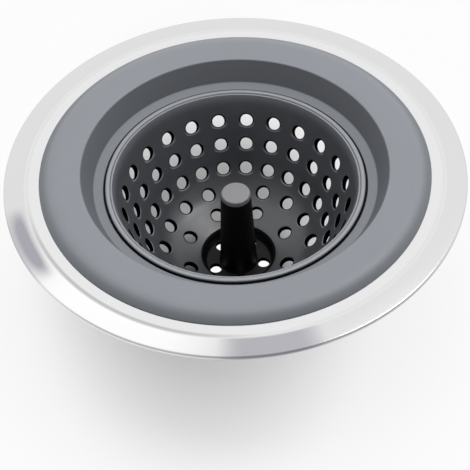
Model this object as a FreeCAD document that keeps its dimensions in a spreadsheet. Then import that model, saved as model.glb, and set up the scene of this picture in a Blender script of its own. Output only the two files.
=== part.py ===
import FreeCAD, Part
import math
import os
import re
import Sketcher

# A sink strainer, standing on the foot under its basket: the origin is the middle of that foot, +Z is up.
# A steel rim and the soft ring moulded onto it lie on the sink. A perforated basket hangs in the ring by
# its flange, and lifts out by a post that is screwed to a hub in the middle of the basket's floor.

# Driving sizes in millimetres, and counts. Radii are from the strainer's axis.
SIZES = {
    # Hub, a cup that snaps into the basket's foot
    "hub_floor": 1.2,
    "hub_wall": 1.17,
    "hub_edge": 0.45,
    "hub_setback": 0.35,
    "hub_clearance": 0.08,
    "hub_hole_radius": 1.5,
    "hub_holes": 5,
    "hub_hole_turn": 59.5,
    "hub_round": 0.4,
    "bead_depth": 0.3,
    "bead_height": 0.8,
    "bead_lift": 0.3,
    # Basket: bowl, foot and flange
    "bowl_radius": 30.3,
    "bowl_depth": 27.55,
    "basket_wall": 1.3,
    "floor_radius": 21.44,
    "floor_rise": 4.15,
    "bend_round": 13,
    "well_radius": 9.55,
    "well_depth": 2.6,
    "well_round": 0.4,
    "foot_wall": 1.6,
    "foot_round": 0.3,
    "upstand": 1.25,
    "upstand_wall": 0.45,
    "upstand_round": 0.15,
    "flange_thickness": 1,
    "hole_radius": 1.62,
    "hole_bevel": 0.35,
    "hole_fall": 47,
    "wall_holes": 24,
    "bend_holes": 16,
    "floor_holes": 8,
    # Band round the basket's edge
    "band_height": 1.5,
    "band_width": 1.2,
    "band_round": 0.42,
    "band_clearance": 0.04,
    # Soft ring
    "shelf_clearance": 0.35,
    "shelf_thickness": 1.4,
    "seat_width": 0.81,
    "seat_gap": 0.49,
    "seat_depth": 1.94,
    "ledge_width": 2.37,
    "ledge_fall": 0.46,
    "throat_run": 2.68,
    "throat_rise": 5.55,
    "throat_round": 0.5,
    "crest_run": 5.95,
    "crest_rise": 0.35,
    "shoulder_run": 4.2,
    "dome_rise": 2,
    "ring_edge": 0.2,
    "plug_wall": 4.63,
    "plug_lead": 0.8,
    "pad_thickness": 0.5,
    "pad_inset": 1,
    # Steel rim
    "rim_thickness": 0.6,
    "rim_show": 8.7,
    "rim_grip": 4.5,
    "land_show": 3.5,
    "rim_fall": 0.4,
    "fold_round": 1.2,
    "hem_round": 0.65,
    "lock_radius": 1.25,
    "lock_inset": 2.3,
    "locks": 12,
    # Post and its cap
    "post_height": 24.5,
    "post_radius": 4.75,
    "post_top_radius": 3.8,
    "post_flange": 0.2,
    "post_flange_height": 0.7,
    "post_flange_round": 0.15,
    "post_joint": 0.2,
    "cap_height": 1.26,
    "cap_round": 0.5,
    "spigot_radius": 1.9,
    "spigot_length": 2.6,
    "spigot_clearance": 0.05,
    "spigot_end_gap": 0.3,
    # Screw from below
    "screw_radius": 1.25,
    "screw_length": 10,
    "screw_point": 1.6,
    "screw_clearance": 0.05,
    "screw_end_gap": 0.6,
    "screw_hole_gap": 0.35,
    "head_radius": 2.75,
    "head_height": 1.5,
    "head_round": 0.7,
    "head_recess": 0.4,
    "slot_reach": 1.6,
    "slot_width": 0.8,
    "slot_depth": 0.9,
    # How far a cut runs past the wall
    "overrun": 1,
}

# Where the rows of holes lie: up the wall, round the bend and out along the floor.
TOP_ROW_SHARE = 0.717
MIDDLE_ROW_SHARE = 0.448
LOW_ROW_SHARE = 0.841
BEND_ROW_SHARE = 0.3
FLOOR_ROW_SHARE = 0.315

# How near an edge lies to the place where it is looked for, as a share of the overrun.
MATCH_SHARE = 0.001

# Heights, each an expression in the sizes, from the foot up.
HUB_BOTTOM = "(head_recess + head_height)"
HUB_FLOOR = f"({HUB_BOTTOM} + hub_floor)"
LIP = f"({HUB_FLOOR} + well_depth)"
HUB_TOP = f"({LIP} - hub_setback)"
BEAD_BOTTOM = f"({HUB_BOTTOM} + bead_lift)"
BEAD_TOP = f"({BEAD_BOTTOM} + bead_height)"
CORNER = f"({LIP} + floor_rise)"
RIM = f"({LIP} + bowl_depth)"
FLANGE = f"({RIM} - upstand)"
SEAT = f"({FLANGE} - flange_thickness)"
LEDGE_IN = f"({SEAT} + seat_depth)"
LEDGE_OUT = f"({LEDGE_IN} + ledge_fall)"
THROAT = f"({LEDGE_OUT} + throat_rise)"
CREST = f"({THROAT} + crest_rise)"
LAND = f"({CREST} - dome_rise)"
UNDER_LAND = f"({LAND} - rim_thickness)"
RIM_SEAT = f"({UNDER_LAND} - pad_thickness)"
RIM_EDGE = f"({LAND} - rim_fall)"
PLUG_BOTTOM = f"({SEAT} - shelf_thickness)"
CAP_SEAT = f"({HUB_FLOOR} + post_height)"
CAP_TOP = f"({CAP_SEAT} + cap_height)"
SCREW_TIP = f"({HUB_BOTTOM} + screw_length)"

# Slopes of the bowl's wall and floor, and the round that joins them: its reach and its centre.
WALL_RUN = "(bowl_radius - floor_radius)"
WALL_SLOPE = f"atan(({RIM} - {CORNER}) / {WALL_RUN})"
FLOOR_SLOPE = "atan(floor_rise / (floor_radius - well_radius))"
BEND_REACH = f"(bend_round * tan(({WALL_SLOPE} - {FLOOR_SLOPE}) / 2))"
BEND_R = f"(floor_radius - {BEND_REACH} * cos({FLOOR_SLOPE}) - bend_round * sin({FLOOR_SLOPE}))"
BEND_Z = f"({CORNER} - {BEND_REACH} * sin({FLOOR_SLOPE}) + bend_round * cos({FLOOR_SLOPE}))"

# Radii that follow from others, from the axis out.
HUB_R = "(well_radius - hub_clearance)"
HUB_WELL_R = f"({HUB_R} - hub_wall)"
POST_FLANGE_R = "(post_radius + post_flange)"
SCREW_HOLE_R = "(screw_radius + screw_hole_gap)"
FOOT_R = "(well_radius + foot_wall)"
SEAT_WALL_R = (f"(floor_radius + ({SEAT} - {CORNER}) / tan({WALL_SLOPE})"
               f" + basket_wall / sin({WALL_SLOPE}))")
SHELF_R = f"({SEAT_WALL_R} + shelf_clearance)"
UPSTAND_R = "(bowl_radius + upstand_wall)"
BAND_R = f"({UPSTAND_R} + band_clearance)"
FLANGE_R = f"max({SHELF_R} + seat_width; {BAND_R} + band_width)"
REBATE_R = f"({FLANGE_R} + seat_gap)"
LEDGE_R = f"({REBATE_R} + ledge_width)"
THROAT_R = f"({LEDGE_R} + throat_run)"
CREST_R = f"({THROAT_R} + crest_run)"
RING_R = f"({CREST_R} + shoulder_run)"
PLUG_R = f"({LEDGE_R} + plug_wall)"
PAD_R = f"({RING_R} - pad_inset)"
GRIP_R = f"({RING_R} - rim_grip)"
LOCK_R = f"({RING_R} - lock_inset)"
FOLD_R = f"({RING_R} + land_show)"
RIM_R = f"({RING_R} + rim_show)"

doc = FreeCAD.newDocument("SinkStrainer")
sheet = doc.addObject("Spreadsheet::Sheet", "Sizes")
for row, (alias, size) in enumerate(SIZES.items(), start=1):
    sheet.set(f"A{row}", alias)
    sheet.set(f"B{row}", str(size))
    sheet.setAlias(f"B{row}", alias)
doc.recompute()


def value(expression):
    """The number that an expression in the sizes comes to."""
    found = sheet.evalExpression(expression)
    return float(getattr(found, "Value", found))


def bind(item, field, expression):
    """Tie a field of a document object to the sheet's cells."""
    cells = re.sub(r"[a-z_]+", lambda name: f"Sizes.{name[0]}" if name[0] in SIZES else name[0], expression)
    item.setExpression(field, cells)


def plane_of(body, role):
    """One of the body's own origin planes or axes."""
    return next(item for item in body.Origin.OriginFeatures if item.Role == role)


def new_body(name):
    body = doc.addObject("PartDesign::Body", name)
    body.Label = name
    return body


def new_sketch(body, name, support):
    sketch = body.newObject("Sketcher::SketchObject", name)
    sketch.AttachmentSupport = (support, [""])
    sketch.MapMode = "FlatFace"
    return sketch


def arc_between(start, end, radius, bulge):
    """The arc from start to end, its centre left of the way there for "left", and which end is which."""
    chord = end - start
    stand_off = math.sqrt(max(radius ** 2 - chord.Length ** 2 / 4, 0))
    sideways = FreeCAD.Vector(-chord.y, chord.x, 0).normalize() * stand_off
    centre = (start + end) / 2 + (sideways if bulge == "left" else -sideways)
    first, last = (start, end) if bulge == "left" else (end, start)
    angles = [math.atan2(point.y - centre.y, point.x - centre.x) for point in (first, last)]
    circle = Part.Circle(centre, FreeCAD.Vector(0, 0, 1), radius)
    return Part.ArcOfCircle(circle, *angles), ((1, 2) if bulge == "left" else (2, 1))


def draw_outline(sketch, corners):
    """Close an outline through its corners, each held at two expressions, across and up.

    A corner with two more entries starts an arc: its radius, and the side of its centre.
    """
    points = [FreeCAD.Vector(value(corner[0]), value(corner[1]), 0) for corner in corners]
    ends = []
    for place, corner in enumerate(corners):
        start = points[place]
        end = points[(place + 1) % len(points)]
        if len(corner) == 2:
            line, order = Part.LineSegment(start, end), (1, 2)
        else:
            line, order = arc_between(start, end, value(corner[2]), corner[3])
        sketch.addGeometry(line, False)
        ends.append(order)
    for place in range(len(corners)):
        after = (place + 1) % len(corners)
        sketch.addConstraint(Sketcher.Constraint("Coincident", place, ends[place][1], after, ends[after][0]))
    for place, corner in enumerate(corners):
        for kind, axis, expression, where in (("DistanceX", -2, corner[0], points[place].x),
                                              ("DistanceY", -1, corner[1], points[place].y)):
            if expression == "0":
                sketch.addConstraint(Sketcher.Constraint("PointOnObject", place, ends[place][0], axis))
                continue
            held = Sketcher.Constraint(kind, -1, 1, place, ends[place][0], where)
            number = sketch.addConstraint(held)
            bind(sketch, f"Constraints[{number}]", expression)
        if len(corner) > 2:
            number = sketch.addConstraint(Sketcher.Constraint("Radius", place, value(corner[2])))
            bind(sketch, f"Constraints[{number}]", corner[2])


def draw_circle(sketch, across, up, radius):
    """A circle held at two expressions, or on the axis for "0"."""
    centre = FreeCAD.Vector(value(across), value(up), 0)
    sketch.addGeometry(Part.Circle(centre, FreeCAD.Vector(0, 0, 1), value(radius)), False)
    for kind, axis, expression in (("DistanceX", -2, across), ("DistanceY", -1, up)):
        if expression == "0":
            sketch.addConstraint(Sketcher.Constraint("PointOnObject", 0, 3, axis))
            continue
        number = sketch.addConstraint(Sketcher.Constraint(kind, -1, 1, 0, 3, value(expression)))
        bind(sketch, f"Constraints[{number}]", expression)
    number = sketch.addConstraint(Sketcher.Constraint("Radius", 0, value(radius)))
    bind(sketch, f"Constraints[{number}]", radius)


def turn(body, name, corners):
    """Turn an outline of radii and heights round the strainer's axis."""
    sketch = new_sketch(body, f"{name}_outline", plane_of(body, "XZ_Plane"))
    draw_outline(sketch, corners)
    solid = body.newObject("PartDesign::Revolution", f"{name}_turned")
    solid.Profile = sketch
    solid.ReferenceAxis = (sketch, ["V_Axis"])
    solid.Angle = 360
    doc.recompute()
    return solid


def round_edges(body, name, feature, radius, places):
    """Round the circular edges at the given radii and heights."""
    near = value("overrun") * MATCH_SHARE
    spots = [(value(across), value(up)) for across, up in places]
    edges = []
    for number, edge in enumerate(feature.Shape.Edges, start=1):
        if not isinstance(edge.Curve, Part.Circle):
            continue
        reach, height = edge.Curve.Radius, edge.Curve.Center.z
        if any(math.hypot(reach - spot[0], height - spot[1]) < near for spot in spots):
            edges.append(f"Edge{number}")
    rounded = body.newObject("PartDesign::Fillet", name)
    rounded.Base = (feature, edges)
    bind(rounded, "Radius", radius)
    doc.recompute()
    return rounded


def ring_of(body, name, features, count):
    """Repeat features evenly round the strainer's axis."""
    pattern = body.newObject("PartDesign::PolarPattern", name)
    pattern.Originals = features
    pattern.Axis = (plane_of(body, "Z_Axis"), [""])
    pattern.Angle = 360
    bind(pattern, "Occurrences", count)
    body.Tip = pattern
    doc.recompute()
    return pattern


def make_steel_rim():
    """Sheet steel: a land that the soft ring grips, a crease, a falling facet and an edge turned down."""
    body = new_body("steel_rim")
    facet_slope = f"atan(rim_fall / ({RIM_R} - {FOLD_R}))"
    inner_edge_r = f"({RIM_R} - rim_thickness)"
    inner_edge_z = (f"({RIM_EDGE} + rim_thickness * tan({facet_slope})"
                    f" - rim_thickness / cos({facet_slope}))")
    under_fold_r = f"({FOLD_R} - rim_thickness * tan({facet_slope} / 2))"
    fold_reach = f"(fold_round * tan({facet_slope} / 2))"
    solid = turn(body, "rim", [
        (GRIP_R, LAND), (f"{FOLD_R} - {fold_reach}", LAND, "fold_round", "right"),
        (f"{FOLD_R} + {fold_reach} * cos({facet_slope})", f"{LAND} - {fold_reach} * sin({facet_slope})"),
        (RIM_R, RIM_EDGE), (RIM_R, RIM_SEAT), (inner_edge_r, RIM_SEAT), (inner_edge_r, inner_edge_z),
        (under_fold_r, UNDER_LAND), (GRIP_R, UNDER_LAND)])
    solid = round_edges(body, "hem", solid, "hem_round", [(RIM_R, RIM_EDGE)])
    round_edges(body, "inside_of_hem", solid, "hem_round - rim_thickness", [(inner_edge_r, inner_edge_z)])
    sketch = new_sketch(body, "lock_outline", plane_of(body, "XY_Plane"))
    bind(sketch, "AttachmentOffset.Base.z", LAND)
    draw_circle(sketch, LOCK_R, "0", "lock_radius")
    hole = body.newObject("PartDesign::Pocket", "lock_hole")
    hole.Profile = sketch
    bind(hole, "Length", "rim_thickness")
    doc.recompute()
    ring_of(body, "lock_holes", [hole], "locks")
    return body


def make_soft_ring():
    """Soft grey ring: domed top, throat, ledge, shelf for the basket, plug, and a pad under the steel."""
    body = new_body("soft_ring")
    crest_radius = "((crest_run ^ 2 + crest_rise ^ 2) / (2 * crest_rise))"
    shoulder_fall = "(dome_rise - ring_edge)"
    shoulder_radius = f"((shoulder_run ^ 2 + {shoulder_fall} ^ 2) / (2 * {shoulder_fall}))"
    solid = turn(body, "ring", [
        (RING_R, f"{LAND} + ring_edge", shoulder_radius, "left"), (CREST_R, CREST, crest_radius, "left"),
        (THROAT_R, THROAT), (LEDGE_R, LEDGE_OUT), (REBATE_R, LEDGE_IN), (REBATE_R, SEAT), (SHELF_R, SEAT),
        (SHELF_R, PLUG_BOTTOM), (f"{PLUG_R} - plug_lead", PLUG_BOTTOM),
        (PLUG_R, f"{PLUG_BOTTOM} + plug_lead"), (PLUG_R, RIM_SEAT), (PAD_R, RIM_SEAT), (PAD_R, UNDER_LAND),
        (GRIP_R, UNDER_LAND), (GRIP_R, LAND), (RING_R, LAND)])
    round_edges(body, "throat_edge", solid, "throat_round", [(THROAT_R, THROAT), (LEDGE_R, LEDGE_OUT)])
    sketch = new_sketch(body, "lock_outline", plane_of(body, "XY_Plane"))
    bind(sketch, "AttachmentOffset.Base.z", UNDER_LAND)
    draw_circle(sketch, LOCK_R, "0", "lock_radius")
    lock = body.newObject("PartDesign::Pad", "lock")
    lock.Profile = sketch
    bind(lock, "Length", "rim_thickness")
    doc.recompute()
    ring_of(body, "lock_pegs", [lock], "locks")
    return body


def turned_about(axis):
    """A placement turned a little about an axis, which it keeps when the sheet then sets its angle."""
    return FreeCAD.Placement(FreeCAD.Vector(), FreeCAD.Rotation(axis, 1))


def spin_cut(body, name, plane, across, up, angle, corners):
    """Cut an outline turned about its own level axis, which passes a point on the plane at an angle."""
    sketch = new_sketch(body, f"{name}_outline", plane)
    sketch.AttachmentOffset = turned_about(FreeCAD.Vector(0, 0, 1))
    bind(sketch, "AttachmentOffset.Rotation.Angle", angle)
    bind(sketch, "AttachmentOffset.Base.x", across)
    bind(sketch, "AttachmentOffset.Base.y", up)
    draw_outline(sketch, corners)
    cut = body.newObject("PartDesign::Groove", name)
    cut.Profile = sketch
    cut.ReferenceAxis = (sketch, ["H_Axis"])
    cut.Angle = 360
    doc.recompute()
    return cut


def cut_hole_row(body, name, across, up, slope, count, turned):
    """A row of holes at a radius and height where the bowl has the given slope.

    A hole's bevel is square to the wall. Its bore falls outwards, at least as steeply as hole_fall.
    """
    plane = body.newObject("PartDesign::Plane", f"{name}_plane")
    plane.AttachmentSupport = (plane_of(body, "XZ_Plane"), [""])
    plane.MapMode = "FlatFace"
    plane.AttachmentOffset = turned_about(FreeCAD.Vector(0, 1, 0))
    bind(plane, "AttachmentOffset.Rotation.Angle", turned)
    square = f"({slope} - 90 deg)"
    bore_end = "basket_wall + 2 * overrun"
    bevel = spin_cut(body, f"{name}_bevel", plane, across, up, square, [
        ("-overrun", "0"), ("hole_bevel", "0"), ("hole_bevel", "hole_radius"),
        ("-overrun", "hole_radius + hole_bevel + overrun")])
    bore = spin_cut(body, f"{name}_bore", plane, across, up, f"min({square}; -hole_fall * 1 deg)", [
        ("-overrun", "0"), (bore_end, "0"), (bore_end, "hole_radius"), ("-overrun", "hole_radius")])
    return ring_of(body, name, [bevel, bore], count)


def make_basket():
    """The bowl with its foot and flange, turned in one piece, then its five rows of holes."""
    body = new_body("basket")
    groove_r = "(well_radius + bead_depth)"
    wall_turn = (f"(floor_radius + {BEND_REACH} * cos({WALL_SLOPE}))",
                 f"({CORNER} + {BEND_REACH} * sin({WALL_SLOPE}))")
    floor_turn = (f"(floor_radius - {BEND_REACH} * cos({FLOOR_SLOPE}))",
                  f"({CORNER} - {BEND_REACH} * sin({FLOOR_SLOPE}))")
    outer_wall_turn = (f"{wall_turn[0]} + basket_wall * sin({WALL_SLOPE})",
                       f"{wall_turn[1]} - basket_wall * cos({WALL_SLOPE})")
    outer_floor_turn = (f"{floor_turn[0]} + basket_wall * sin({FLOOR_SLOPE})",
                        f"{floor_turn[1]} - basket_wall * cos({FLOOR_SLOPE})")
    foot_top = f"({LIP} + foot_wall * tan({FLOOR_SLOPE}) - basket_wall / cos({FLOOR_SLOPE}))"
    solid = turn(body, "bowl", [
        ("bowl_radius", RIM), (*wall_turn, "bend_round", "right"), floor_turn, ("well_radius", LIP),
        ("well_radius", f"{BEAD_TOP} + hub_clearance"), (groove_r, f"{BEAD_TOP} + hub_clearance"),
        (groove_r, f"{BEAD_BOTTOM} - hub_clearance"), ("well_radius", f"{BEAD_BOTTOM} - hub_clearance"),
        ("well_radius", "0"), (FOOT_R, "0"), (FOOT_R, foot_top),
        (*outer_floor_turn, "bend_round + basket_wall", "left"), outer_wall_turn, (SEAT_WALL_R, SEAT),
        (FLANGE_R, SEAT), (FLANGE_R, FLANGE), (UPSTAND_R, FLANGE), (UPSTAND_R, RIM)])
    solid = round_edges(body, "well_lip", solid, "well_round", [("well_radius", LIP)])
    solid = round_edges(body, "foot_edges", solid, "foot_round", [(FOOT_R, "0"), (FLANGE_R, SEAT)])
    round_edges(body, "upstand_edges", solid, "upstand_round", [("bowl_radius", RIM), (UPSTAND_R, RIM)])
    for name, share in (("top_row", TOP_ROW_SHARE), ("middle_row", MIDDLE_ROW_SHARE)):
        cut_hole_row(body, name, f"floor_radius + {share} * {WALL_RUN}",
                     f"{CORNER} + {share} * ({RIM} - {CORNER})", WALL_SLOPE, "wall_holes", "180 / wall_holes")
    for name, share, count, turned in (("low_row", LOW_ROW_SHARE, "wall_holes", "180 / wall_holes"),
                                       ("bend_row", BEND_ROW_SHARE, "bend_holes", "0")):
        slope = f"({FLOOR_SLOPE} + {share} * ({WALL_SLOPE} - {FLOOR_SLOPE}))"
        cut_hole_row(body, name, f"{BEND_R} + bend_round * sin({slope})",
                     f"{BEND_Z} - bend_round * cos({slope})", slope, count, turned)
    cut_hole_row(body, "floor_row", f"well_radius + {FLOOR_ROW_SHARE} * (floor_radius - well_radius)",
                 f"{LIP} + {FLOOR_ROW_SHARE} * floor_rise", FLOOR_SLOPE, "floor_holes", "180 / floor_holes")
    return body


def make_rim_band():
    """A soft band that sits on the basket's flange, round its upstand."""
    body = new_body("rim_band")
    top = f"({FLANGE} + band_height)"
    solid = turn(body, "band", [(BAND_R, FLANGE), (FLANGE_R, FLANGE), (FLANGE_R, top), (BAND_R, top)])
    round_edges(body, "band_edges", solid, "band_round", [(FLANGE_R, top), (BAND_R, top)])
    return body


def make_hub():
    """A cup with a snap bead, which turns in the basket's foot, with drain holes round the post."""
    body = new_body("hub")
    bead_r = f"({HUB_R} + bead_depth)"
    mouth_r = f"({HUB_R} - hub_edge)"
    solid = turn(body, "cup", [
        (SCREW_HOLE_R, HUB_BOTTOM), (HUB_R, HUB_BOTTOM), (HUB_R, BEAD_BOTTOM), (bead_r, BEAD_BOTTOM),
        (bead_r, BEAD_TOP), (HUB_R, BEAD_TOP), (HUB_R, HUB_TOP), (mouth_r, HUB_TOP), (HUB_WELL_R, HUB_FLOOR),
        (SCREW_HOLE_R, HUB_FLOOR)])
    round_edges(body, "foot_of_wall", solid, "hub_round", [(HUB_WELL_R, HUB_FLOOR)])
    middle_r = f"(({POST_FLANGE_R} + {HUB_WELL_R}) / 2)"
    sketch = new_sketch(body, "drain_outline", plane_of(body, "XY_Plane"))
    bind(sketch, "AttachmentOffset.Base.z", HUB_FLOOR)
    draw_circle(sketch, f"{middle_r} * cos(hub_hole_turn)", f"{middle_r} * sin(hub_hole_turn)",
                "hub_hole_radius")
    hole = body.newObject("PartDesign::Pocket", "drain_hole")
    hole.Profile = sketch
    bind(hole, "Length", "hub_floor + overrun")
    doc.recompute()
    ring_of(body, "drain_holes", [hole], "hub_holes")
    return body


def make_post():
    """A tapered post with a small flange, a socket for its cap, and a bore for the screw."""
    body = new_body("post")
    pilot_r = "(screw_radius + screw_clearance)"
    pilot_top = f"({SCREW_TIP} + screw_end_gap)"
    socket_r = "(spigot_radius + spigot_clearance)"
    socket_floor = f"({CAP_SEAT} - spigot_length - spigot_end_gap)"
    flange_top = f"({HUB_FLOOR} + post_flange_height)"
    solid = turn(body, "post", [
        (pilot_r, HUB_FLOOR), (POST_FLANGE_R, HUB_FLOOR), (POST_FLANGE_R, flange_top),
        ("post_radius", flange_top), ("post_top_radius", f"{CAP_SEAT} - post_joint"),
        ("post_top_radius - post_joint", CAP_SEAT), (socket_r, CAP_SEAT), (socket_r, socket_floor),
        ("0", socket_floor), ("0", pilot_top), (pilot_r, pilot_top)])
    round_edges(body, "flange_edge", solid, "post_flange_round", [(POST_FLANGE_R, flange_top)])
    return body


def make_post_cap():
    """A round-edged cap whose spigot fills the socket in the post."""
    body = new_body("post_cap")
    spigot_end = f"({CAP_SEAT} - spigot_length)"
    solid = turn(body, "cap", [
        ("0", spigot_end), ("spigot_radius", spigot_end), ("spigot_radius", CAP_SEAT),
        ("post_top_radius", CAP_SEAT), ("post_top_radius", CAP_TOP), ("0", CAP_TOP)])
    round_edges(body, "cap_edge", solid, "cap_round", [("post_top_radius", CAP_TOP)])
    return body


def make_post_screw():
    """A pan-head screw, driven from below with a cross slot, that holds the post to the hub."""
    body = new_body("post_screw")
    solid = turn(body, "screw", [
        ("0", "head_recess"), ("head_radius", "head_recess"), ("head_radius", HUB_BOTTOM),
        ("screw_radius", HUB_BOTTOM), ("screw_radius", f"{SCREW_TIP} - screw_point"), ("0", SCREW_TIP)])
    round_edges(body, "head_edge", solid, "head_round", [("head_radius", "head_recess")])
    sketch = new_sketch(body, "slot_outline", plane_of(body, "XY_Plane"))
    bind(sketch, "AttachmentOffset.Base.z", "head_recess")
    half = "slot_width / 2"
    draw_outline(sketch, [
        ("slot_reach", f"-{half}"), ("slot_reach", half), (half, half), (half, "slot_reach"),
        (f"-{half}", "slot_reach"), (f"-{half}", half), ("-slot_reach", half), ("-slot_reach", f"-{half}"),
        (f"-{half}", f"-{half}"), (f"-{half}", "-slot_reach"), (half, "-slot_reach"), (half, f"-{half}")])
    slot = body.newObject("PartDesign::Pocket", "cross_slot")
    slot.Profile = sketch
    slot.Reversed = True
    bind(slot, "Length", "slot_depth")
    doc.recompute()
    return body


bodies = [make_steel_rim(), make_soft_ring(), make_basket(), make_rim_band(), make_hub(), make_post(),
          make_post_cap(), make_post_screw()]
doc.recompute()

for item in doc.Objects:
    if "Invalid" in item.State or "Error" in item.State:
        raise RuntimeError(f"{item.Label} did not build: {item.State}")
for body in bodies:
    if body.Shape.isNull() or not body.Shape.isValid() or len(body.Shape.Solids) != 1:
        raise RuntimeError(f"{body.Label} is not one valid solid")

os.makedirs("parts", exist_ok=True)
for body in bodies:
    body.Shape.exportStep(f"parts/{body.Label}.step")
    box = body.Shape.BoundBox
    print(f"{body.Label}: {body.Shape.Volume:.1f} mm3, z {box.ZMin:.2f} to {box.ZMax:.2f},"
          f" across {box.XLength:.2f}")
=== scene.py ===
import math

import bmesh
import bpy
import numpy as np
from mathutils import Matrix, Vector


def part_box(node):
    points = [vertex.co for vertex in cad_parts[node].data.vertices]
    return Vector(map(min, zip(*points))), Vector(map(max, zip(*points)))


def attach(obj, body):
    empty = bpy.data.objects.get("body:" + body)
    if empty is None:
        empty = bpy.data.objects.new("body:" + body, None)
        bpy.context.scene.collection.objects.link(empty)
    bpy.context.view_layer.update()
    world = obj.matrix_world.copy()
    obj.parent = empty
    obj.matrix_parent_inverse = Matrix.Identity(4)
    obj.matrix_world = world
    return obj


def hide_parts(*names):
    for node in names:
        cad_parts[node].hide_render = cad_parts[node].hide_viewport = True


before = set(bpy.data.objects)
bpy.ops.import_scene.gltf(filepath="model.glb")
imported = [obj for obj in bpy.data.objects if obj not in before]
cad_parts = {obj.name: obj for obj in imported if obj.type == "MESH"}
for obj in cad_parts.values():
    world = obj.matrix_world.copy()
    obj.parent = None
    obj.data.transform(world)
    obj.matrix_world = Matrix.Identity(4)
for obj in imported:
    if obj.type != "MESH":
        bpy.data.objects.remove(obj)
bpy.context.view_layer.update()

# Steel rim: thin stainless sheet, spun to a flat land with a crease and a facet that falls to a turned-down
# edge. The soft ring is moulded round its inner border, so only the land, crease, facet and edge show.

rim_low, rim_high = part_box("steel_rim")
rim_sheet = 0.0006
rim_width = 0.0132
facet_width = 0.0052
facet_fall = 0.0004
facet_sheet_share = 0.93
crease_round = 0.0012
edge_round = 0.00065
cut_round = 0.0001
rim_outer = rim_high.x
rim_inner = rim_outer - rim_width
crease_radius = rim_outer - facet_width
land_top = rim_high.z
land_bottom = land_top - rim_sheet
facet_foot = land_top - facet_fall
edge_foot = rim_low.z
rim_steps = 384
sharp_angle = math.radians(38)

steel_tone = 0.7
# The tone of the painted reflection on the facet.
painted_shine_tone = 0.84
rings_per_metre = 5200.0
ring_groove = 0.000004
smudge_size = 0.016
# The crease, facet, streak and wedge numbers below place painted shade and painted reflection on the steel.
crease_soft = 0.0006
facet_lead = 0.0002
line_inner = 0.0012
line_outer = 0.0004
streak_rise = 0.0022
streak_crest = 0.0024
streak_end = 0.005
streak_drop = 0.6
facet_painted_shade = 0.7
crease_line_painted_shade = 0.4
line_shade = 0.65
front_shade = 0.8
side_shade = 1.3

# A wedge of painted reflection or painted shade is a direction in degrees, how far from it the wedge ends,
# and how far from it the wedge is full.
line_wedge = (-128, 44, 20)
painted_shine_wedge = (-124, 34, 10)
front_wedge = (-83, 14, 6)
side_wedge = (-157, 14, 1)


def rounded(corners, closed=False, steps=6):
    """A line of radii and heights through corners, each a radius, a height and a round of its own.

    The arc touches both sides at round / tan(half the corner), and its points swing evenly from one side
    to the other.
    """
    corners = np.array(corners, float)
    corner, size = corners[:, :2], corners[:, 2:]
    back = np.roll(corner, 1, 0) - corner
    ahead = np.roll(corner, -1, 0) - corner
    if not closed:
        back[0], ahead[-1] = -ahead[0], -back[-1]
    back /= np.linalg.norm(back, axis=1, keepdims=True)
    ahead /= np.linalg.norm(ahead, axis=1, keepdims=True)
    half = np.arccos(np.clip((back * ahead).sum(1, keepdims=True), -1, 1)) / 2
    middle = back + ahead
    middle /= np.maximum(np.linalg.norm(middle, axis=1, keepdims=True), 1e-9)
    centre = corner + middle * size / np.sin(half)
    start = back * size / np.tan(half) - middle * size / np.sin(half)
    end = ahead * size / np.tan(half) - middle * size / np.sin(half)
    swing = np.maximum(np.pi - 2 * half, 1e-6)[:, None]
    share = np.linspace(0, 1, steps + 1)[None, :, None]
    arc = start[:, None] * np.sin((1 - share) * swing) + end[:, None] * np.sin(share * swing)
    line = (centre[:, None] + arc / np.sin(swing)).reshape(-1, 2)
    fresh = np.linalg.norm(np.diff(line, axis=0, prepend=line[:1] - 1), axis=1) > 1e-7
    return line[fresh]


def turned(line, steps, closed=False, depth=0.0, lip=0.0):
    """A line of radii and heights carried round the axis: points at equal angles, quads between neighbours.

    Each of the line's points may have a share of painted shade, from 0 to 1, and a mark below 0 for a
    painted highlight on a lip.
    """
    angle = 2 * np.pi * np.arange(steps) / steps
    radius, height = line[:, :1], line[:, 1:]
    points = np.stack([radius * np.cos(angle), radius * np.sin(angle), height + 0 * angle], axis=-1)
    row = np.arange(len(line) if closed else len(line) - 1)[:, None]
    column = np.arange(steps)[None, :]
    next_row, next_column = (row + 1) % len(line), (column + 1) % steps
    quads = np.stack([row * steps + column, row * steps + next_column,
                      next_row * steps + next_column, next_row * steps + column], axis=-1)
    marks = np.stack([depth + np.zeros(len(line)), lip + np.zeros(len(line))])
    return points.reshape(-1, 3), quads.reshape(-1, 4), np.repeat(marks, steps, axis=1)


def piece(name, patches, weld=2e-7):
    """One closed object from patches of points and quads, welded where they meet, its faces outwards.

    Each patch also gives its points a share of painted shade, from 0 to 1, mixed in as black in holes,
    gaps and other shaded places, and how high on a hole's lip they lie, from -1 to 1, which places a
    painted highlight. The mesh keeps these as the attributes hole and lip.
    """
    starts = np.cumsum([0] + [len(patch[0]) for patch in patches[:-1]])
    points = np.concatenate([patch[0] for patch in patches])
    quads = np.concatenate([patch[1] + start for patch, start in zip(patches, starts)])
    mesh = bpy.data.meshes.new(name)
    mesh.from_pydata(points, [], quads)
    for place, field in enumerate(("hole", "lip")):
        made = mesh.attributes.new(field, "FLOAT", "POINT")
        made.data.foreach_set("value", np.concatenate([patch[2][place] for patch in patches]))
    shape = bmesh.new()
    shape.from_mesh(mesh)
    bmesh.ops.remove_doubles(shape, verts=shape.verts, dist=weld)
    bmesh.ops.dissolve_degenerate(shape, edges=shape.edges, dist=weld)
    bmesh.ops.recalc_face_normals(shape, faces=shape.faces)
    shape.to_mesh(mesh)
    shape.free()
    mesh.polygons.foreach_set("use_smooth", np.ones(len(mesh.polygons), bool))
    mesh.set_sharp_from_angle(angle=sharp_angle)
    made = bpy.data.objects.new(name, mesh)
    bpy.context.scene.collection.objects.link(made)
    return made


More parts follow.
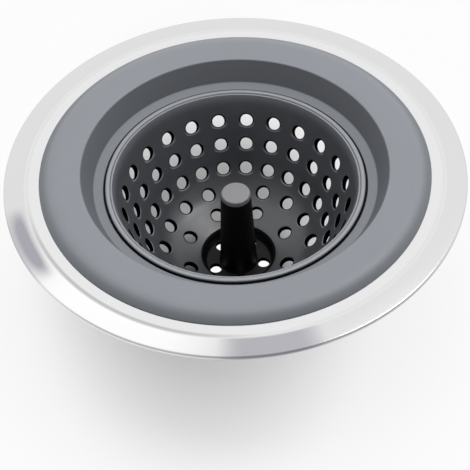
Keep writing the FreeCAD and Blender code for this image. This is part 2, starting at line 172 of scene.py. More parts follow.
class Wire:
    """A value in a finish: each sum or product of it adds one Math node."""

    def __init__(self, finish, socket):
        self.finish = finish
        self.socket = socket

    def math(self, operation, first, second):
        return self.finish.node("ShaderNodeMath", {"operation": operation}, {0: first, 1: second})

    def __add__(self, other):
        return self.math("ADD", self, other)

    def __sub__(self, other):
        return self.math("SUBTRACT", self, other)

    def __rsub__(self, other):
        return self.math("SUBTRACT", other, self)

    def __mul__(self, other):
        return self.math("MULTIPLY", self, other)

    def __pow__(self, other):
        return self.math("POWER", self, other)

    __radd__ = __add__
    __rmul__ = __mul__


class Finish:
    """The nodes of a material or a room: node() adds any node, and shade() fills its shader's sockets."""

    def __init__(self, owner, shader="Principled BSDF", view="Object"):
        owner.use_nodes = True
        self.owner = owner
        self.tree = owner.node_tree
        self.shader = self.tree.nodes[shader]
        self.place = self.node("ShaderNodeTexCoord", output=view)

    def node(self, kind, settings=None, sockets=None, output=0):
        """Adds a node: its settings first, then the values or links of its sockets."""
        made = self.tree.nodes.new(kind)
        for field, setting in (settings or {}).items():
            setattr(made, field, setting)
        for name, value in (sockets or {}).items():
            self.feed(made.inputs[name], value)
        return Wire(self, made.outputs[output])

    def feed(self, socket, value):
        """Links a wire to a socket, or sets the socket to a plain value."""
        if isinstance(value, Wire):
            self.tree.links.new(value.socket, socket)
        else:
            socket.default_value = value

    def vector(self, operation, *values, output=0):
        """Maths on places, which a Math node would turn into single numbers."""
        return self.node("ShaderNodeVectorMath", {"operation": operation}, dict(enumerate(values)), output)

    def grain(self, size, detail=2.0, stretch=(1, 1, 1)):
        """Noise whose spots are about size metres across, from 0 to 1."""
        place = self.node("ShaderNodeMapping", None, {"Vector": self.place, "Scale": stretch})
        return self.node("ShaderNodeTexNoise", None, {"Vector": place, "Scale": 1 / size, "Detail": detail})

    def mark(self, field):
        """One of the marks that piece() keeps on a mesh."""
        return self.node("ShaderNodeAttribute", {"attribute_name": field}, output="Fac")

    def blend(self, share, first, second):
        """A colour between two others."""
        return self.node("ShaderNodeMix", {"data_type": "RGBA"}, {0: share, 6: first, 7: second}, output=2)

    def bump(self, height, depth):
        """A normal tilted by a height from 0 to 1, where 1 stands depth metres proud."""
        return self.node("ShaderNodeBump", None, {"Height": height, "Distance": depth})

    def ramp(self, value, start, end):
        """A smooth step from 0 at start to 1 at end."""
        return self.node("ShaderNodeMapRange", {"interpolation_type": "SMOOTHSTEP"},
                         {"Value": value, "From Min": start, "From Max": end})

    def wedge(self, reach, middle, half, full):
        """1 within full degrees of a direction from the axis, falling to 0 at half degrees from it."""
        way = (math.cos(math.radians(middle)), math.sin(math.radians(middle)), 0)
        along = self.vector("DOT_PRODUCT", self.place, way, output="Value")
        return self.ramp(along * reach ** -1, math.cos(math.radians(half)), math.cos(math.radians(full)))

    def from_axis(self, shift=(0, 0, 0), scale=(1, 1, 0)):
        """The distance in metres from the axis, or from an upright line beside it on a stretched plan."""
        level = self.vector("MULTIPLY", self.vector("SUBTRACT", self.place, shift), scale)
        return self.vector("LENGTH", level, output="Value")

    def shade(self, **sockets):
        """Fills the shader's sockets by name, with a low line for each space."""
        for name, value in sockets.items():
            self.feed(self.shader.inputs[name.replace("_", " ")], value)
        return self.owner

    def cover(self, share, kind, **sockets):
        """Mixes a share of a second, plain shader into the first."""
        first = Wire(self, self.shader.outputs[0])
        second = self.node(kind, None, sockets)
        mixed = self.node("ShaderNodeMixShader", None, {0: share, 1: first, 2: second})
        self.feed(self.tree.nodes["Material Output"].inputs["Surface"], mixed)
        return self.owner


def tinted(tone, tint):
    """A solid colour: a grey tone times the three parts of a tint."""
    return tuple(tone * part for part in tint) + (1,)


def spun_steel(name, tone, crease=None):
    """Stainless sheet, spun: fine rings round the axis, with soft smudges in its gloss.

    The facet outside the crease is painted a little darker than the land, as painted shade for its dimmer
    reflection. Painted reflection and painted shade lie in wedges, each round one direction from the axis,
    the one at the side as a streak that rises and falls across the facet. The crease is a faint line of
    painted shade, darker in a wedge of its own.
    """
    finish = Finish(bpy.data.materials.new(name))
    reach = finish.from_axis()
    rings = finish.node("ShaderNodeTexNoise", {"noise_dimensions": "1D"},
                        {"W": reach, "Scale": rings_per_metre, "Detail": 3.0})
    smudge = finish.grain(smudge_size, detail=3.0)
    colour = finish.blend(smudge * 0.5 + rings * 0.3, tinted(tone, (1, 1, 1.004)),
                          tinted(tone, (0.94, 0.94, 0.95)))
    if crease:
        # Painted shade and painted reflection: a darker facet, a dark line at the crease, a shine wedge and
        # two shaded wedges.
        facet = finish.ramp(reach, crease - facet_lead, crease - facet_lead + crease_soft)
        line = (finish.ramp(reach, crease - line_inner, crease - line_inner + crease_soft)
                - finish.ramp(reach, crease - line_outer, crease - line_outer + crease_soft))
        streak = (finish.ramp(reach, crease, crease + streak_rise)
                  - finish.ramp(reach, crease + streak_crest, crease + streak_end) * streak_drop)
        dark_line = line * finish.wedge(reach, *line_wedge) * line_shade
        shine = facet * finish.wedge(reach, *painted_shine_wedge)
        shade = (finish.wedge(reach, *front_wedge) * front_shade
                 + finish.wedge(reach, *side_wedge) * streak * side_shade)
        colour = finish.blend(facet * facet_painted_shade + line * crease_line_painted_shade, colour,
                              tinted(tone, (0.85, 0.85, 0.855)))
        colour = finish.blend(dark_line, colour, tinted(tone, (0.5, 0.5, 0.5)))
        colour = finish.blend(shine, colour, tinted(painted_shine_tone, (1, 1, 1)))
        colour = finish.blend(facet * shade, colour, tinted(tone, (0.48, 0.47, 0.52)))
    return finish.shade(
        Base_Color=colour, Metallic=1.0, Roughness=0.13 + smudge * 0.1 + rings * 0.06,
        Normal=finish.bump(rings, ring_groove))


rim_line = rounded([
    (rim_inner, land_top, 0),
    (crease_radius, land_top, crease_round),
    (rim_outer, facet_foot, edge_round),
    (rim_outer, edge_foot, cut_round),
    (rim_outer - rim_sheet, edge_foot, cut_round),
    (rim_outer - rim_sheet, facet_foot - rim_sheet * facet_sheet_share, edge_round - rim_sheet),
    (crease_radius, land_bottom, crease_round - rim_sheet),
    (rim_inner, land_bottom, 0)], closed=True)
steel_rim = piece("steel_rim_sheet", [turned(rim_line, rim_steps, closed=True)])
steel_rim.data.materials.append(spun_steel("spun_steel", steel_tone, crease_radius))
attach(steel_rim, "ring")
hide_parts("steel_rim")

# Soft ring: grey soft plastic, moulded round the steel. Its top is domed, and inside it falls by a steep
# throat to a ledge and a shelf that carries the basket. Below, a plug fits the drain and a pad lies under
# the steel.

ring_low, ring_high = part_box("soft_ring")
ring_edge = 0.0002
shoulder_run = 0.0042
crest_run = 0.00595
crest_fall = 0.00035
crest_stop = 0.0006
throat_run = 0.00268
throat_fall = 0.00555
ledge_width = 0.00237
ledge_fall = 0.00046
rebate_depth = 0.00194
shelf_width = 0.0013
plug_wall = 0.00463
plug_lead = 0.0008
pad_inset = 0.001
soft_round = 0.0005
fine_round = 0.0002
shelf_round = 0.0001
plug_round = 0.0003
ring_outer = ring_high.x
crest_height = ring_high.z
crest_radius = ring_outer - shoulder_run
throat_radius = crest_radius - crest_run
throat_height = crest_height - crest_fall
ledge_radius = throat_radius - throat_run
ledge_outer_height = throat_height - throat_fall
ledge_inner_height = ledge_outer_height - ledge_fall
rebate_radius = ledge_radius - ledge_width
shelf_radius = rebate_radius - shelf_width
seat_height = ledge_inner_height - rebate_depth
plug_bottom = ring_low.z
plug_radius = ledge_radius + plug_wall
pad_radius = ring_outer - pad_inset
ring_steps = 320

soft_fine = 0.00022
soft_cloud = 0.011
soft_dust = 0.0011
soft_grain_depth = 0.000012
gap_shade = 0.9
throat_shade = 0.5
ledge_shade = 0.22
shoulder_shade = 0.22
shoulder_shade_width = 0.0024
shoulder_shade_run = 0.0014
black = (0, 0, 0, 1)


def cap_arc(run, fall, steps):
    """Offsets along an arc that leaves level and drops by fall over run.

    Its circle has a radius of (run² + fall²) / (2 fall).
    """
    size = (run ** 2 + fall ** 2) / (2 * fall)
    swing = np.linspace(0, math.asin(run / size), steps)
    return np.stack([size * np.sin(swing), size * (np.cos(swing) - 1)], axis=1)


def soft_moulded(name, tone, tint, gloss, shine):
    """Soft moulded plastic: a fine matt grain, faint clouding, and dust that dulls it in spots.

    Painted shade: black is mixed in by the mesh's hole mark, most of it in a gap, less where the piece
    shades itself.
    """
    finish = Finish(bpy.data.materials.new(name))
    fine = finish.grain(soft_fine)
    cloud = finish.grain(soft_cloud, detail=3.0)
    dust = finish.grain(soft_dust, detail=4.0)
    clouded = finish.blend(cloud * 0.7 + fine * 0.3, tinted(tone * 0.93, tint), tinted(tone * 1.07, tint))
    finish.shade(
        Base_Color=clouded, Roughness=gloss + cloud * 0.1 + dust * 0.06, Specular_IOR_Level=shine,
        Normal=finish.bump(fine * 0.7 + dust * 0.3, soft_grain_depth))
    return finish.cover(finish.mark("hole"), "ShaderNodeBsdfDiffuse", Color=black)


crest = np.array([crest_radius, crest_height])
shoulder = crest + cap_arc(shoulder_run, crest_height - land_top - ring_edge, 22)[::-1]
inner_crest = crest + cap_arc(crest_run - crest_stop, crest_fall, 10)[1:] * [-1, 1]
throat = rounded([
    (*inner_crest[-1], 0),
    (throat_radius, throat_height, soft_round),
    (ledge_radius, ledge_outer_height, soft_round),
    (rebate_radius, ledge_inner_height, fine_round),
    (rebate_radius, seat_height, 0),
    (shelf_radius, seat_height, shelf_round),
    (shelf_radius, plug_bottom, fine_round),
    (plug_radius - plug_lead, plug_bottom, plug_round),
    (plug_radius, plug_bottom + plug_lead, plug_round),
    (plug_radius, edge_foot, 0),
    (pad_radius, edge_foot, fine_round),
    (pad_radius, land_bottom, 0),
    (rim_inner, land_bottom, 0),
    (rim_inner, land_top, 0),
    (ring_outer, land_top, 0)])
ring_line = np.concatenate([shoulder, inner_crest[:-1], throat])
reach, rise = ring_line.T
# Painted shade, mixed in as black: most in the gap below the ledge, some on the throat, the ledge and the
# foot of the shoulder.
in_gap = (reach < rebate_radius + soft_round) & (rise < ledge_inner_height - ring_edge)
on_throat = (reach > ledge_radius - soft_round) & (reach < throat_radius + soft_round)
on_ledge = (reach < throat_radius) & (rise < ledge_outer_height + soft_round)
below_crest = np.clip((throat_height - rise) / soft_round, 0, 1)
above_ledge = np.clip((rise - ledge_outer_height) / soft_round, 0, 1)
down_shoulder = np.clip((reach - ring_outer + shoulder_shade_width) / shoulder_shade_run, 0, 1)
own_shade = (throat_shade * on_throat * below_crest * above_ledge
             + ledge_shade * on_ledge * (1 - above_ledge)
             + shoulder_shade * down_shoulder * (rise > land_top))
ring_painted_shade = np.where(in_gap, gap_shade, own_shade)
soft_ring = piece("soft_ring_moulding", [turned(ring_line, ring_steps, closed=True, depth=ring_painted_shade)])
soft_ring.data.materials.append(
    soft_moulded("soft_grey", tone=0.278, tint=(0.94, 1.0, 1.1), gloss=0.38, shine=0.7))
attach(soft_ring, "ring")
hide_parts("soft_ring")

# Basket: dark grey plastic, moulded in one piece: a bowl with five rows of drain holes, a foot that holds
# the hub, and a flange with a thin upstand at its edge. Each hole has a rounded mouth on the inside.

basket_low, basket_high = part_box("basket")
bowl_radius = 0.0303
bowl_depth = 0.02755
bowl_wall = 0.0013
well_radius = 0.00955
corner_radius = 0.02144
floor_rise = 0.00415
bend_round = 0.013
foot_wall = 0.0016
upstand_wall = 0.00045
seat_width = 0.00081
flange_thickness = 0.001
hole_radius = 0.00162
mouth_round = 0.00035
far_edge_share = 0.4
hole_fall = math.radians(47)
floor_row_share = 0.315
bend_row_share = 0.3
low_row_share = 0.841
middle_row_share = 0.448
top_row_share = 0.717
floor_border = 0.00145
upstand_round = 0.00015
flange_round = 0.0001
flange_foot_round = 0.0003
root_round = 0.0002
foot_round = 0.0003
foot_inner_round = 0.0002
well_round = 0.0004
bowl_rim = basket_high.z
well_lip = bowl_rim - bowl_depth
corner_height = well_lip + floor_rise
foot_radius = well_radius + foot_wall
flange_radius = shelf_radius + seat_width
flange_top = seat_height + flange_thickness
bowl_steps = 288

wall_slope = math.atan2(bowl_rim - corner_height, bowl_radius - corner_radius)
floor_slope = math.atan2(floor_rise, corner_radius - well_radius)
bend_turn = wall_slope - floor_slope
bend_reach = bend_round * math.tan(bend_turn / 2)
bend_length = bend_round * bend_turn
floor_side = math.hypot(corner_radius - well_radius, floor_rise)
wall_side = math.hypot(bowl_radius - corner_radius, bowl_rim - corner_height)
floor_length = floor_side - bend_reach
wall_start = floor_length + bend_length

flow_size = 0.009
mottle_size = 0.0024
moulded_grain_depth = 0.00001
# Painted highlight on the lower lips of holes and along the upstand's top.
painted_highlight_share = 4.5
painted_highlight_start = -0.05
painted_highlight_full = -0.8
upstand_painted_highlight = -0.42
# Painted shade: the bowl's floor is darker than its walls, fading out up the wall.
painted_shade_share = 0.36
painted_shade_drop = 0.001
painted_shade_run = 0.007
painted_shade_top = corner_height - painted_shade_drop
unshaded_wall = painted_shade_top + painted_shade_run


def bowl_line(way):
    """Radius, height and slope inside the bowl, by the way up from the well.

    The line is a straight floor, an arc and a straight wall.
    """
    way = np.array(way, float)
    slope = floor_slope + np.clip((way - floor_length) / bend_round, 0, bend_turn)
    on_floor = np.minimum(way, floor_length)
    on_wall = np.maximum(way - wall_start, 0)
    radius = (well_radius + on_floor * math.cos(floor_slope) + on_wall * math.cos(wall_slope)
              + bend_round * (np.sin(slope) - math.sin(floor_slope)))
    height = (well_lip + on_floor * math.sin(floor_slope) + on_wall * math.sin(wall_slope)
              + bend_round * (math.cos(floor_slope) - np.cos(slope)))
    return radius, height, slope


def outside(way):
    """Radius and height on the outside of the bowl, one wall away from bowl_line."""
    radius, height, slope = bowl_line(way)
    return radius + bowl_wall * np.sin(slope), height - bowl_wall * np.cos(slope)


def holed_band(line, bend, wall, count, first, middle, below, above, hole, mouth, steps,
               sides=10, lean=0.0):
    """A band of wall with a ring of holes, cut into one cell for each hole.

    A cell's rings of points run from its border in to the hole's rounded mouth, down the hole, and out
    again to the border on the far side. A ring in the wall is a mix of the circle round the hole and the
    border. A point is its angle, its way along the line, and its depth along the wall's normal. The hole
    leans down the line by an angle, so that its rings slip by depth times the angle's tangent. Its inside
    gets painted shade in the hole mark. Its lip's mark, which places a painted highlight, is the sine of
    the angle round it times the squared sine of the wall's slope.
    """
    across = np.linspace(-1, 1, steps // count + 1)[:-1]
    up = np.linspace(0, 1, sides + 1)[:-1]
    border_angle = np.pi / count * np.concatenate([across, np.ones(sides), -across, -np.ones(sides)])
    border_way = np.concatenate([np.full_like(across, below), below + (above - below) * up,
                                 np.full_like(across, above), above - (above - below) * up])
    around = np.arctan2(border_way - middle, border_angle * line(middle)[0])
    fade = np.array([1, 0.55, 0.27, 0.1])
    level = np.ones(len(fade))
    curl = np.linspace(0, np.pi / 2, 5)
    far_edge = mouth * far_edge_share
    mix = np.concatenate([fade, 0 * curl, [0, 0], fade[::-1]])[:, None]
    reach = np.concatenate([level * (hole + mouth), hole + mouth * (1 - np.sin(curl)),
                            [hole, hole + far_edge], level * (hole + far_edge)])[:, None]
    depth = np.concatenate([level * 0, mouth * (1 - np.cos(curl)),
                            [wall - far_edge, wall], level * wall])[:, None]
    stretch = np.where(depth > 0.99 * mouth, 1 / math.cos(lean), 1)
    circle_way = middle + stretch * reach * np.sin(around) / (1 + depth * bend) - depth * math.tan(lean)
    radius, _, slope = line(circle_way)
    circle_angle = reach * np.cos(around) / (radius + depth * np.sin(slope))
    way = circle_way + mix * (border_way - circle_way)
    angle = circle_angle + mix * (border_angle - circle_angle)
    angle = first + 2 * np.pi * np.arange(count)[:, None, None] / count + angle
    radius, height, slope = line(way)
    radius = radius + depth * np.sin(slope)
    height = height - depth * np.cos(slope)
    points = np.stack([radius * np.cos(angle), radius * np.sin(angle), height + 0 * angle], axis=-1)
    rings, spokes = way.shape
    cell = np.arange(count)[:, None, None] * rings * spokes
    ring = np.arange(rings - 1)[None, :, None] * spokes
    spoke = np.arange(spokes)[None, None, :]
    next_spoke = (spoke + 1) % spokes
    quads = np.stack([cell + ring + spoke, cell + ring + next_spoke,
                      cell + ring + spokes + next_spoke, cell + ring + spokes + spoke], axis=-1)
    # Painted shade inside each hole, and the marks that place a painted highlight on its lower lip.
    inside = np.concatenate([0 * fade, [0.3, 1, 1, 1, 1, 1, 0.5], 0 * fade])[:, None]
    edge = np.concatenate([fade < 0.2, [1, 0.6, 0, 0, 0, 0, 0], 0 * fade])[:, None]
    lip = edge * np.sin(around) * np.sin(line(middle)[2]) ** 2
    marks = np.stack([(inside + 0 * angle).reshape(-1), (lip + 0 * angle).reshape(-1)])
    return points.reshape(-1, 3), quads.reshape(-1, 4), marks


def moulded_plastic(name, tone, tint, gloss, grain, shine, painted_shade=None):
    """Hard moulded plastic: a fine spark-eroded grain, faint flow clouding, and a gloss that wanders.

    The lower lips of holes get a painted highlight, and past the lips black is mixed in as painted shade by
    the mesh's hole mark. A painted shade, where one is given, is its share of the tone, the height where
    it starts to fade, and the height above which the wall has none.
    """
    finish = Finish(bpy.data.materials.new(name))
    fine = finish.grain(grain)
    mottle = finish.grain(mottle_size)
    flow = finish.grain(flow_size, detail=3.0, stretch=(1, 1, 0.4))
    wall = finish.blend(flow * 0.3 + mottle * 0.5 + fine * 0.2,
                        tinted(tone * 0.75, tint), tinted(tone * 1.25, tint))
    # Painted shade: darker lower down, fading out by the height where the wall has none.
    if painted_shade:
        share, top, unshaded = painted_shade
        height = finish.node("ShaderNodeSeparateXYZ", None, {0: finish.place}, output="Z")
        wall = finish.blend(finish.ramp(height, top, unshaded), tinted(tone * share, tint), wall)
    # Painted highlight on the lower lips of holes.
    painted_highlight = finish.ramp(finish.mark("lip"), painted_highlight_start, painted_highlight_full)
    finish.shade(
        Base_Color=finish.blend(painted_highlight, wall, tinted(tone * painted_highlight_share, tint)),
        Roughness=gloss + flow * 0.1 + mottle * 0.06, Specular_IOR_Level=shine,
        Normal=finish.bump(fine * 0.5 + mottle * 0.5, moulded_grain_depth))
    return finish.cover(finish.mark("hole"), "ShaderNodeBsdfDiffuse", Color=black)


floor_row = floor_row_share * floor_side
bend_row = floor_length + bend_row_share * bend_length
low_row = floor_length + low_row_share * bend_length
middle_row = wall_start + middle_row_share * wall_side - bend_reach
top_row = wall_start + top_row_share * wall_side - bend_reach
row_ways = [floor_row, bend_row, low_row, middle_row, top_row]
seams = [(lower + upper) / 2 for lower, upper in zip(row_ways, row_ways[1:])]
seams = [floor_border] + seams + [2 * top_row - seams[-1]]
row_bends = [0, 1 / bend_round, 1 / bend_round, 0, 0]
row_counts = [8, 16, 24, 24, 24]
row_turns = [math.pi / 8, 0, math.pi / 24, math.pi / 24, math.pi / 24]
row_leans = [max(0.0, hole_fall - math.pi / 2 + bowl_line(way)[2]) for way in row_ways]
basket_patches = [
    holed_band(bowl_line, bend, bowl_wall, count, first, middle, below, above, hole_radius, mouth_round,
               bowl_steps, lean=lean)
    for bend, count, first, middle, below, above, lean
    in zip(row_bends, row_counts, row_turns, row_ways, seams, seams[1:], row_leans)]

seat_way = wall_start + (seat_height - corner_height) / math.sin(wall_slope) - bend_reach
seat_wall = bowl_line(seat_way)[0] + bowl_wall / math.sin(wall_slope)
flange_line = rounded([
    (*bowl_line(seams[-1])[:2], 0),
    (bowl_radius, bowl_rim, upstand_round),
    (bowl_radius + upstand_wall, bowl_rim, upstand_round),
    (bowl_radius + upstand_wall, flange_top, 0),
    (flange_radius, flange_top, flange_round),
    (flange_radius, seat_height, flange_foot_round),
    (seat_wall, seat_height, root_round),
    (*outside(seams[-1]), 0)])
# Painted highlight along the upstand's top.
upstand_lip = upstand_painted_highlight * (flange_line[:, 1] > bowl_rim - 2 * upstand_round)
foot_top = well_lip + foot_wall * math.tan(floor_slope) - bowl_wall / math.cos(floor_slope)
foot_line = rounded([
    (*outside(seams[0]), 0),
    (foot_radius, foot_top, root_round),
    (foot_radius, basket_low.z, foot_round),
    (well_radius, basket_low.z, foot_inner_round),
    (well_radius, well_lip, well_round),
    (*bowl_line(seams[0])[:2], 0)])
basket_patches += [turned(flange_line, bowl_steps, lip=upstand_lip), turned(foot_line, bowl_steps)]
basket = piece("basket_moulding", basket_patches)
basket.data.materials.append(
    moulded_plastic("basket_grey", tone=0.1, tint=(0.94, 0.985, 1.12), gloss=0.24, grain=0.0002, shine=1.0,
                    painted_shade=(painted_shade_share, painted_shade_top, unshaded_wall)))
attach(basket, "basket")
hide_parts("basket")

# Rim band: a soft grey plastic band round the basket's mouth. It is pushed over the thin upstand and lies
# on the flange, which it covers.

band_low, band_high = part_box("rim_band")
band_clearance = 0.00004
band_round = 0.00042
band_foot_round = 0.0001
band_fall = 0.0005
band_inner = bowl_radius + upstand_wall + band_clearance
band_outer = band_high.x
band_line = rounded([
    (band_inner, band_low.z, band_foot_round),
    (band_outer, band_low.z, band_foot_round),
    (band_outer, band_high.z, band_round),
    (band_inner, band_high.z, band_round)], closed=True)
# Painted shade: black mixed into the band's outer side, more the further down from its top.
down_band = np.clip((band_high.z - band_line[:, 1]) / band_fall, 0, 1)
band_painted_shade = down_band * (band_line[:, 0] > band_inner + band_fall)
rim_band = piece("rim_band_moulding", [turned(band_line, bowl_steps, closed=True, depth=band_painted_shade)])
rim_band.data.materials.append(
    soft_moulded("band_grey", tone=0.31, tint=(0.97, 1.0, 1.06), gloss=0.33, shine=1.0))
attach(rim_band, "basket")
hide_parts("rim_band")

# Hub: a black plastic cup that snaps into the basket's foot by a bead and can turn there. Its floor has
# five drain holes round the post.

hub_low, hub_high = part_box("hub")
hub_clearance = 0.00008
hub_floor_thickness = 0.0012
hub_wall_foot = 0.00117
hub_wall_top = 0.00045
hub_hole = 0.0015
hub_hole_mouth = 0.00008
hub_hole_ring = 0.006625
hub_hole_count = 5
hub_hole_turn = math.radians(59.5)
hub_border_inner = 0.00016
hub_border_outer = 0.00011
hub_floor_round = 0.00008
hub_round = 0.0001
bead_step = 0.0003
bead_rise = 0.0003
bead_height = 0.0008
screw_hole = 0.0016
hub_shade = 0.8
hub_shade_start = 0.0003
hub_steps = 180
hub_weld = 1e-6
hub_radius = well_radius - hub_clearance
hub_floor = hub_low.z + hub_floor_thickness
hub_well = hub_radius - hub_wall_foot
hub_mouth = hub_radius - hub_wall_top
hub_holes_inner = hub_hole_ring - hub_hole - hub_border_inner
hub_holes_outer = hub_hole_ring + hub_hole + hub_border_outer
bead_reach = hub_radius + bead_step
bead_foot = hub_low.z + bead_rise
bead_top = bead_foot + bead_height


def hub_line(way):
    """Radius, height and slope of the hub's level floor, by the distance from the axis."""
    return way, hub_floor + 0 * way, 0 * way


hub_wall_line = rounded([
    (hub_holes_outer, hub_floor, 0),
    (hub_well, hub_floor, hub_floor_round),
    (hub_mouth, hub_high.z, hub_round),
    (hub_radius, hub_high.z, hub_round),
    (hub_radius, bead_top, 0),
    (bead_reach, bead_top, hub_round),
    (bead_reach, bead_foot, hub_round),
    (hub_radius, bead_foot, 0),
    (hub_radius, hub_low.z, hub_round),
    (hub_holes_outer, hub_low.z, 0)])
hub_eye_line = np.array([(hub_holes_inner, hub_low.z), (screw_hole, hub_low.z), (screw_hole, hub_floor),
                         (hub_holes_inner, hub_floor)])
# Painted shade: black mixed into the hub's wall above its floor.
hub_wall_painted_shade = hub_shade * (hub_wall_line[:, 1] > hub_floor + hub_shade_start)
hub = piece("hub_cup", [
    holed_band(hub_line, 0, hub_floor_thickness, hub_hole_count, hub_hole_turn, hub_hole_ring,
               hub_holes_inner, hub_holes_outer, hub_hole, hub_hole_mouth, hub_steps, sides=6),
    turned(hub_wall_line, hub_steps, depth=hub_wall_painted_shade),
    turned(hub_eye_line, hub_steps)], weld=hub_weld)
hub.data.materials.append(
    moulded_plastic("black_hub", tone=0.007, tint=(1.0, 0.99, 1.03), gloss=0.42, grain=0.00015, shine=0.25))
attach(hub, "handle")
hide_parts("hub")

# Post: the black plastic handle, a slightly tapered turned shape with a small flange, standing on the hub.
# A screw from below holds it, and a socket in its top takes the cap.

post_low, post_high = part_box("post")
post_base = 0.00475
post_top = 0.0038
post_flange_step = 0.0002
post_flange_height = 0.0007
post_flange_round = 0.00015
post_root_round = 0.00004
joint_depth = 0.0002
joint_round = 0.00005
socket_radius = 0.00195
socket_depth = 0.0029
pilot_radius = 0.0013
pilot_depth = 0.0094
post_flange = post_base + post_flange_step
post_flange_top = post_low.z + post_flange_height
socket_floor = post_high.z - socket_depth
pilot_top = post_low.z + pilot_depth
post_steps = 128
post_line = rounded([
    (0, pilot_top, 0),
    (pilot_radius, pilot_top, 0),
    (pilot_radius, post_low.z, 0),
    (post_flange, post_low.z, 0),
    (post_flange, post_flange_top, post_flange_round),
    (post_base, post_flange_top, post_root_round),
    (post_top, post_high.z - joint_depth, joint_round),
    (post_top - joint_depth, post_high.z, joint_round),
    (socket_radius, post_high.z, 0),
    (socket_radius, socket_floor, 0),
    (0, socket_floor, 0)])
post = piece("post_turned", [turned(post_line, post_steps)])
post.data.materials.append(
    moulded_plastic("black_post", tone=0.0015, tint=(1.0, 1.0, 1.03), gloss=0.5, grain=0.00015, shine=0.1))
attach(post, "handle")
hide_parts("post")

# Post cap: a grey plastic plug that closes the top of the post. It is moulded with a round edge and a
# slight taper, and its spigot is pressed into the post's socket.

cap_low, cap_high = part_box("post_cap")
cap_edge = 0.0004
cap_taper = 0.00025
cap_joint_round = 0.0001
spigot_radius = 0.0019
spigot_round = 0.0002
cap_line = rounded([
    (0, cap_low.z, 0),
    (spigot_radius, cap_low.z, spigot_round),
    (spigot_radius, post_high.z, 0),
    (post_top, post_high.z, cap_joint_round),
    (post_top - cap_taper, cap_high.z, cap_edge),
    (0, cap_high.z, 0)])
post_cap = piece("post_cap_plug", [turned(cap_line, post_steps)])
post_cap.data.materials.append(
    soft_moulded("cap_grey", tone=0.225, tint=(0.99, 0.985, 1.05), gloss=0.36, shine=1.0))
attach(post_cap, "handle")
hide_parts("post_cap")

# Post screw: a bright steel pan-head screw that holds the post on the hub. It is driven up through the
# hub's floor, so only its head shows, from below. It keeps its CAD shape and gets its finish here.

screw_tone = 0.66
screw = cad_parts["post_screw"]
screw.data.materials.clear()
screw.data.materials.append(spun_steel("screw_steel", screw_tone))

# Floor: a plain white table, with light of its own on the rays that look at it. A painted shadow dims
# that light round the strainer, most of all behind the axis, and a soft painted pool of light under the
# hub shows white through the hub's holes.

floor_half = 3.0
table_tone = 0.9
table_pale = 0.92
table_speck = 0.004
glow_ring = 0.25
glow_full = 0.868
shade_middle = (-0.009, 0.021, 0)
shade_stretch = (1.9, 1, 0)
shade_inner = 0.024
shade_outer = 0.0985
ring_middle = (-0.004, -0.004, 0)
ring_inner = 0.009
ring_full = 0.028
hub_spot = 0.0095
hub_spot_edge = 0.011


def white_table(name):
    """White table: diffuse, mixed with light of its own on the rays that look at it.

    That light rises in two smooth steps, each by the distance from a middle of its own, which paints a
    soft shadow round the strainer, and a painted pool of light lies in a spot under the hub.
    """
    finish = Finish(bpy.data.materials.new(name))
    looks = finish.node("ShaderNodeLightPath", output="Is Camera Ray")
    mirrors = finish.node("ShaderNodeLightPath", output="Is Glossy Ray")
    through = finish.node("ShaderNodeLightPath", output="Is Transmission Ray")
    seen = finish.node("ShaderNodeClamp", None, {"Value": looks + mirrors + through})
    # Painted shadow: the light steps up by the distance from two middles; painted light: the soft spot
    # under the hub.
    ring = finish.ramp(finish.from_axis(ring_middle), ring_inner, ring_full)
    open_floor = finish.ramp(finish.from_axis(shade_middle, shade_stretch), shade_inner, shade_outer)
    spot = finish.ramp(finish.from_axis(), hub_spot_edge, hub_spot)
    glow = glow_ring * ring + (glow_full - glow_ring) * open_floor + spot
    speckled = finish.blend(finish.grain(table_speck),
                            tinted(table_tone, (1, 1, 1)), tinted(table_pale, (1, 1, 1)))
    finish.shade(Base_Color=speckled, Roughness=0.9, Specular_IOR_Level=0.0)
    return finish.cover(seen * glow, "ShaderNodeEmission", Color=(1, 1, 1, 1), Strength=1.0)


floor_corners = np.array([(-1, -1, 0), (1, -1, 0), (1, 1, 0), (-1, 1, 0)]) * floor_half
floor_mesh = bpy.data.meshes.new("table_top")
floor_mesh.from_pydata(floor_corners, [], [(0, 1, 2, 3)])
floor = bpy.data.objects.new("table_top", floor_mesh)
bpy.context.scene.collection.objects.link(floor)
floor.data.materials.append(white_table("white_table"))

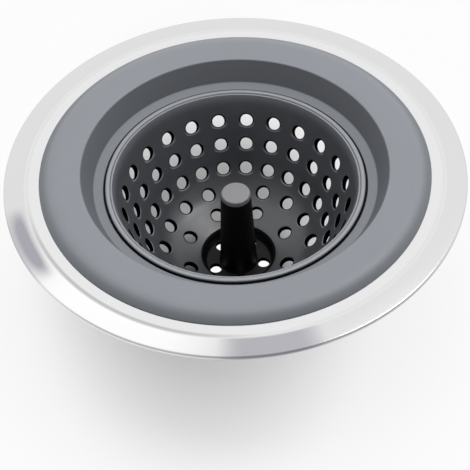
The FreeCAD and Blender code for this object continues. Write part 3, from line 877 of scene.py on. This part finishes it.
# Light: a soft lamp overhead, a little behind, and a smaller one beside it on the right. The room is dim,
# but metal and gloss see its pale walls, which darken towards the front.

scene = bpy.context.scene
scene.view_settings.view_transform = "Standard"
lit_middle = Vector((0, 0, 0.036))
room_light = 0.05
room_front = 0.52
room_back = 1.2
front_wall = -0.5
back_wall = 0.45


def lamp(name, place, width, height, brightness):
    """A flat soft lamp that faces the strainer. Its power is pi times its area times its brightness."""
    light = bpy.data.lights.new(name, "AREA")
    light.shape = "RECTANGLE"
    light.size = width
    light.size_y = height
    light.energy = math.pi * width * height * brightness
    made = bpy.data.objects.new(name, light)
    towards = (lit_middle - Vector(place)).to_track_quat("-Z", "Y").to_matrix().to_4x4()
    made.matrix_world = Matrix.Translation(place) @ towards
    scene.collection.objects.link(made)
    return made


top_lamp = lamp("top_lamp", place=(0.05, 0.3, 1.24), width=1.0, height=1.0, brightness=4.6)
top_lamp.visible_glossy = False
lamp("side_lamp", place=(0.558, 0.181, 1.14), width=0.42, height=0.42, brightness=3.6)

room = Finish(bpy.data.worlds.new("pale_room"), shader="Background", view="Generated")
along = room.node("ShaderNodeSeparateXYZ", None, {0: room.place}, output="Y")
walls = room_front + (room_back - room_front) * room.ramp(along, front_wall, back_wall)
mirrored = room.node("ShaderNodeLightPath", output="Is Glossy Ray")
scene.world = room.shade(Color=(1, 1, 1, 1), Strength=room_light + (walls - room_light) * mirrored)

# Camera: a long lens that stands where the photograph was taken from, worked out from the ellipses of the
# rim, ring and bowl. It is turned a little about its own line of sight.

camera_place = Vector((0, -0.2507, 0.3034))
camera_aim = Vector((-0.00062, -0.01998, 0.036))
camera_roll = math.radians(-2.71)
camera_lens = 114.9
camera_data = bpy.data.cameras.new("camera")
camera_data.lens = camera_lens
camera = bpy.data.objects.new("camera", camera_data)
level = (camera_aim - camera_place).to_track_quat("-Z", "Y").to_matrix().to_4x4()
camera.matrix_world = Matrix.Translation(camera_place) @ level @ Matrix.Rotation(camera_roll, 4, "Z")
scene.collection.objects.link(camera)
scene.camera = camera
